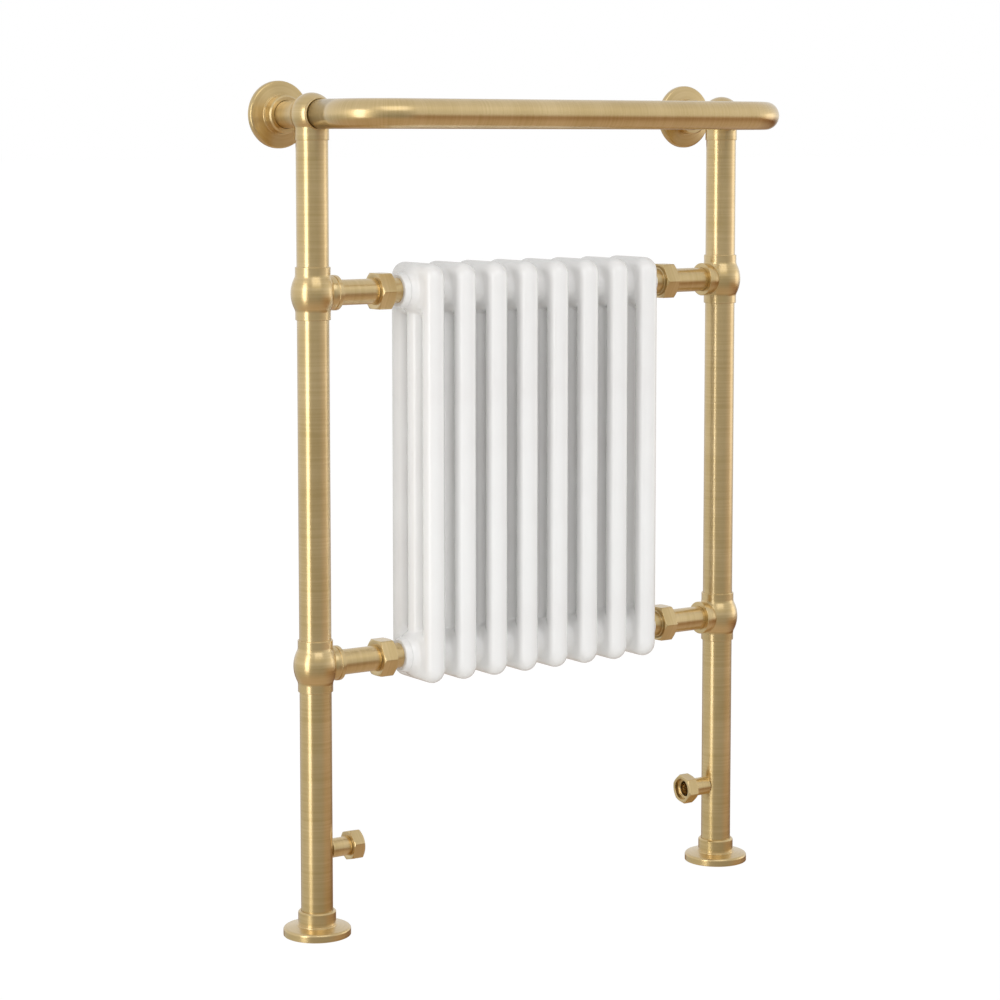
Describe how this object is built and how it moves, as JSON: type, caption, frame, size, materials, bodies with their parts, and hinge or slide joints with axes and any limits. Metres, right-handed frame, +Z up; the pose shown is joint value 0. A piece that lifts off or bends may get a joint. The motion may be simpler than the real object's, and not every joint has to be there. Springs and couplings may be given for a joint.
{
  "type": "towel radiator",
  "caption": "Floor-standing towel radiator: ball-jointed brass posts carry an overhanging towel rail and, on unions, a white enamelled three-column sectional radiator.",
  "frame": {"origin": "on the floor, under the middle of the outline seen from above", "axes": "+X is the width, to the right seen from the towel rail's side; +Y points to the wall; +Z is up"},
  "size_m": [0.659, 0.2146, 0.9736],
  "materials": {
    "brushed_brass": "brushed and lacquered",
    "white_enamel": "gloss",
    "zinc_plated_steel": "satin",
    "rubber": "matt"
  },
  "bodies": {
    "frame": {"hub_gaskets": "rubber", "left_floor_plate": "zinc_plated_steel", "left_inlet_socket": "brushed_brass", "left_inlet_spur": "brushed_brass", "left_lower_cross_tube": "brushed_brass", "left_lower_end_bush": "white_enamel", "left_lower_tail": "brushed_brass", "left_lower_tee": "brushed_brass", "left_lower_tube": "brushed_brass", "left_middle_tube": "brushed_brass", "left_top_elbow": "brushed_brass", "left_upper_cross_tube": "brushed_brass", "left_upper_end_bush": "white_enamel", "left_upper_tail": "brushed_brass", "left_upper_tee": "brushed_brass", "left_upper_tube": "brushed_brass", "left_wall_plate": "zinc_plated_steel", "left_wall_stay": "brushed_brass", "right_floor_plate": "zinc_plated_steel", "right_inlet_socket": "brushed_brass", "right_inlet_spur": "brushed_brass", "right_lower_cross_tube": "brushed_brass", "right_lower_end_bush": "white_enamel", "right_lower_tail": "brushed_brass", "right_lower_tee": "brushed_brass", "right_lower_tube": "brushed_brass", "right_middle_tube": "brushed_brass", "right_top_elbow": "brushed_brass", "right_upper_cross_tube": "brushed_brass", "right_upper_end_bush": "white_enamel", "right_upper_tail": "brushed_brass", "right_upper_tee": "brushed_brass", "right_upper_tube": "brushed_brass", "right_wall_plate": "zinc_plated_steel", "right_wall_stay": "brushed_brass", "section_1": "white_enamel", "section_2": "white_enamel", "section_3": "white_enamel", "section_4": "white_enamel", "section_5": "white_enamel", "section_6": "white_enamel", "section_7": "white_enamel", "section_8": "white_enamel", "section_nipples": "zinc_plated_steel", "towel_rail": "brushed_brass", "union_gaskets": "rubber", "vent_plug": "brushed_brass"},
    "left_floor_cover": {"left_floor_cover": "brushed_brass"},
    "left_wall_cover": {"left_wall_cover": "brushed_brass"},
    "left_lower_union_nut": {"left_lower_union_nut": "brushed_brass"},
    "left_upper_union_nut": {"left_upper_union_nut": "brushed_brass"},
    "right_floor_cover": {"right_floor_cover": "brushed_brass"},
    "right_wall_cover": {"right_wall_cover": "brushed_brass"},
    "right_lower_union_nut": {"right_lower_union_nut": "brushed_brass"},
    "right_upper_union_nut": {"right_upper_union_nut": "brushed_brass"},
    "bleed_screw": {"bleed_screw": "brushed_brass"}
  },
  "joints": [
    {"name": "left_floor_cover_slide", "type": "slide", "parent": "frame", "child": "left_floor_cover", "axis": [0, 0, 1], "range_m": [0, 0.05]},
    {"name": "left_wall_cover_slide", "type": "slide", "parent": "frame", "child": "left_wall_cover", "axis": [0, -1, 0], "range_m": [0, 0.03]},
    {"name": "left_lower_union_nut_turn", "type": "hinge", "parent": "frame", "child": "left_lower_union_nut", "pos_m": [-0.20215, 0.02933, 0.3125], "axis": [1, 0, 0], "continuous": true},
    {"name": "left_upper_union_nut_turn", "type": "hinge", "parent": "frame", "child": "left_upper_union_nut", "pos_m": [-0.20215, 0.02933, 0.7355], "axis": [1, 0, 0], "continuous": true},
    {"name": "right_floor_cover_slide", "type": "slide", "parent": "frame", "child": "right_floor_cover", "axis": [0, 0, 1], "range_m": [0, 0.05]},
    {"name": "right_wall_cover_slide", "type": "slide", "parent": "frame", "child": "right_wall_cover", "axis": [0, -1, 0], "range_m": [0, 0.03]},
    {"name": "right_lower_union_nut_turn", "type": "hinge", "parent": "frame", "child": "right_lower_union_nut", "pos_m": [0.20215, 0.02933, 0.3125], "axis": [1, 0, 0], "continuous": true},
    {"name": "right_upper_union_nut_turn", "type": "hinge", "parent": "frame", "child": "right_upper_union_nut", "pos_m": [0.20215, 0.02933, 0.7355], "axis": [1, 0, 0], "continuous": true},
    {"name": "bleed_screw_turn", "type": "hinge", "parent": "frame", "child": "bleed_screw", "pos_m": [0.32, 0.02933, 0.93535], "axis": [1, 0, 0], "range_deg": [0, 360]}
  ]
}
